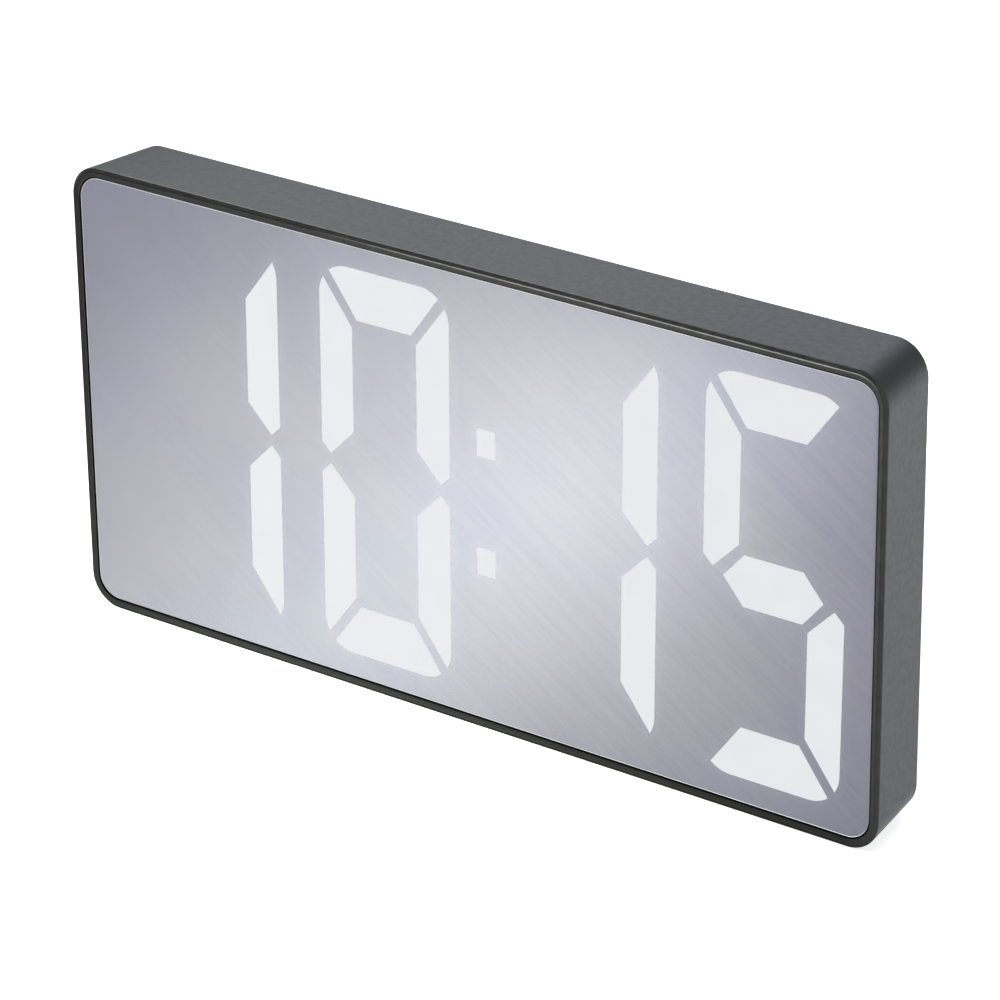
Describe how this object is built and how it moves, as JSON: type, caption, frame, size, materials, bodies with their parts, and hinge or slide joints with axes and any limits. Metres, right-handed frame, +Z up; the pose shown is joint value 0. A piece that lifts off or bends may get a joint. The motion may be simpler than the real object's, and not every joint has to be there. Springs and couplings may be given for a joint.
{
  "type": "digital led desk clock",
  "caption": "Slim mirror-front LED desk clock with white segment digits, a dark grey case, rear buttons, coin-cell cap and fold-out easel leg.",
  "frame": {"origin": "middle of the footprint, on the surface that the foot pads stand on", "axes": "+X to the right as seen from the front, -Y out of the display, +Z up"},
  "size_m": [0.165, 0.0154, 0.0844],
  "materials": {
    "case_plastic": "fine matte moulded, dark grey",
    "cover_plastic": "fine matte moulded, dark grey",
    "stand_plastic": "fine matte moulded, dark grey",
    "cap_plastic": "satin moulded, dark grey",
    "button_plastic": "satin moulded, near black",
    "half_silvered_panel": "half-silvered acrylic, cool grey",
    "lit_segments": "even white glow",
    "black_tape": "foam tape",
    "diffuser_film": "milky film",
    "white_plastic": "white moulded",
    "circuit_board": "green solder mask",
    "led_chip": "phosphor yellow",
    "chip_black": "epoxy black",
    "plated_metal": "nickel plated",
    "resistor_black": "ceramic, black",
    "capacitor_tan": "ceramic, tan",
    "buzzer_black": "satin black",
    "switch_black": "satin black",
    "plunger_plastic": "natural nylon",
    "holder_plastic": "black moulded",
    "cell_steel": "nickel plated steel",
    "spring_metal": "nickel plated spring steel",
    "screw_steel": "black zinc",
    "pin_steel": "bright steel",
    "grey_rubber": "matte silicone"
  },
  "bodies": {
    "case": {"housing": "case_plastic", "mirror_panel": "half_silvered_panel", "lit_segments": "lit_segments", "panel_tape": "black_tape", "diffuser_film": "diffuser_film", "reflector_block": "white_plastic", "led_board": "circuit_board", "segment_leds": "led_chip", "led_driver_chip": "chip_black", "microcontroller": "chip_black", "clock_crystal": "plated_metal", "voltage_regulator": "chip_black", "chip_resistors": "resistor_black", "chip_capacitors": "capacitor_tan", "alarm_buzzer": "buzzer_black", "power_socket_shell": "plated_metal", "power_socket_tongue": "chip_black", "switch_housings": "switch_black", "coin_cell_holder": "holder_plastic", "coin_cell": "cell_steel", "cell_contact_positive": "spring_metal", "cell_contact_negative": "spring_metal", "rear_cover": "cover_plastic", "cover_screws": "screw_steel", "board_screws": "screw_steel", "stand_hinge_pin": "pin_steel", "foot_pads": "grey_rubber"},
    "stand": {"stand_leg": "stand_plastic", "stand_tips": "grey_rubber"},
    "cell_hatch": {"cell_cap": "cap_plastic"},
    "mode_key": {"mode_button": "button_plastic", "mode_switch_plunger": "plunger_plastic"},
    "alarm_key": {"alarm_button": "button_plastic", "alarm_switch_plunger": "plunger_plastic"},
    "down_key": {"down_button": "button_plastic", "down_switch_plunger": "plunger_plastic"},
    "up_key": {"up_button": "button_plastic", "up_switch_plunger": "plunger_plastic"}
  },
  "joints": [
    {"name": "stand_fold", "type": "hinge", "parent": "case", "child": "stand", "pos_m": [0, 0.00625, 0.0735], "axis": [1, 0, 0], "range_deg": [0, 25]},
    {"name": "cell_cap_turn", "type": "hinge", "parent": "case", "child": "cell_hatch", "pos_m": [-0.05, 0.00725, 0.0544], "axis": [0, 1, 0], "range_deg": [0, 45]},
    {"name": "mode_press", "type": "slide", "parent": "case", "child": "mode_key", "axis": [0, -1, 0], "range_m": [0, 0.0003], "stiffness_N_per_m": 3000},
    {"name": "alarm_press", "type": "slide", "parent": "case", "child": "alarm_key", "axis": [0, -1, 0], "range_m": [0, 0.0003], "stiffness_N_per_m": 3000},
    {"name": "down_press", "type": "slide", "parent": "case", "child": "down_key", "axis": [0, -1, 0], "range_m": [0, 0.0003], "stiffness_N_per_m": 3000},
    {"name": "up_press", "type": "slide", "parent": "case", "child": "up_key", "axis": [0, -1, 0], "range_m": [0, 0.0003], "stiffness_N_per_m": 3000}
  ]
}
